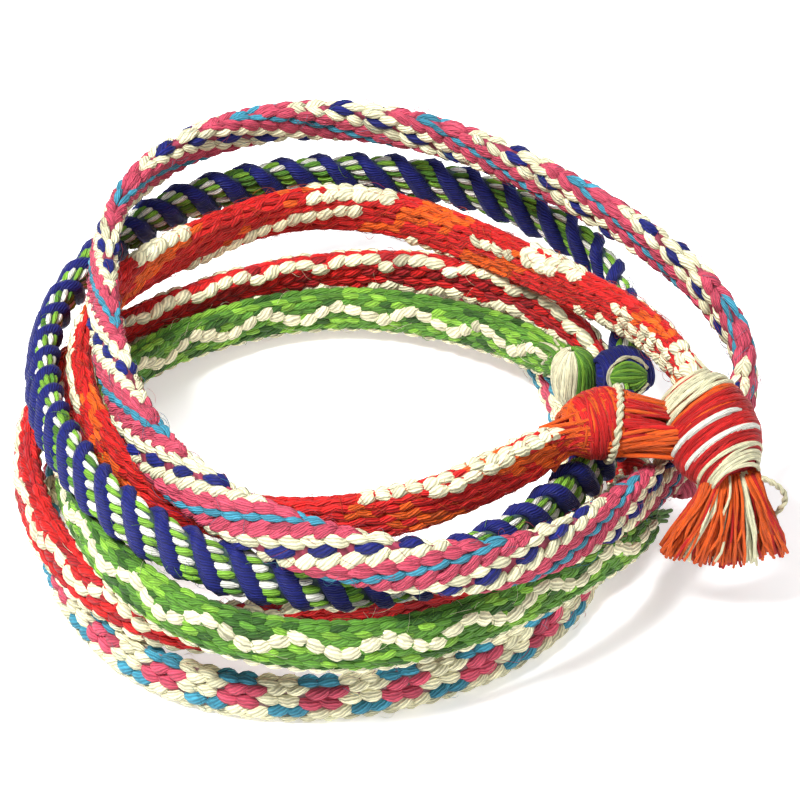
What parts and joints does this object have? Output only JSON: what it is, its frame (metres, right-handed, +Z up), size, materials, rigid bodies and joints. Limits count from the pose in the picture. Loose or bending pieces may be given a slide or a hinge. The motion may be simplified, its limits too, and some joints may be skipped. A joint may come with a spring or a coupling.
{
  "type": "pile of braided friendship bracelets",
  "caption": "Small heap of flat braided thread bracelets with whipped knots, loose thread ends and a flared tassel, lying in loops one over another.",
  "frame": {"origin": "on the table under the middle of the pile", "axes": "+Z up; +X towards the knots and the tassel; +Y to the back of the pile"},
  "size_m": [0.0746, 0.0683, 0.0241],
  "materials": {
    "diamond_braid": "matte cotton thread",
    "red_braid": "matte cotton thread",
    "green_braid": "matte cotton thread",
    "green_thread": "matte cotton thread",
    "cream_thread": "matte cotton thread",
    "navy_braid": "matte cotton thread",
    "navy_thread": "matte cotton thread",
    "orange_braid": "matte cotton thread",
    "orange_thread": "matte cotton thread",
    "red_thread": "matte cotton thread",
    "pink_braid": "matte cotton thread"
  },
  "bodies": {
    "diamond": {"diamond_band": "diamond_braid", "diamond_knot": "diamond_braid"},
    "red": {"red_band": "red_braid", "red_knot": "red_braid"},
    "green": {"green_band": "green_braid", "green_knot": "green_thread", "green_wrap": "cream_thread", "green_fringe": "green_thread"},
    "navy": {"navy_band": "navy_braid", "navy_knot": "navy_thread", "navy_thread": "cream_thread"},
    "orange": {"orange_band": "orange_braid", "orange_lump": "orange_thread", "lump_thread": "cream_thread", "orange_knot": "red_thread", "top_wrap_1": "cream_thread", "top_wrap_2": "cream_thread", "fine_arc_1": "cream_thread", "fine_arc_2": "cream_thread", "collar": "cream_thread", "tassel": "orange_thread", "thread_loop": "cream_thread"},
    "pink": {"pink_band": "pink_braid", "pink_knot": "pink_braid"}
  },
  "joints": [
    {"name": "red_lift", "type": "slide", "parent": "diamond", "child": "red", "axis": [0, 0, 1], "range_m": [0, 0.03]},
    {"name": "green_lift", "type": "slide", "parent": "red", "child": "green", "axis": [0, 0, 1], "range_m": [0, 0.03]},
    {"name": "navy_lift", "type": "slide", "parent": "green", "child": "navy", "axis": [0, 0, 1], "range_m": [0, 0.03]},
    {"name": "orange_lift", "type": "slide", "parent": "navy", "child": "orange", "axis": [0, 0, 1], "range_m": [0, 0.03]},
    {"name": "pink_tilt", "type": "hinge", "parent": "orange", "child": "pink", "pos_m": [0.0275, -0.0085, 0.012], "axis": [0, 1, 0], "range_deg": [0, 8]}
  ]
}
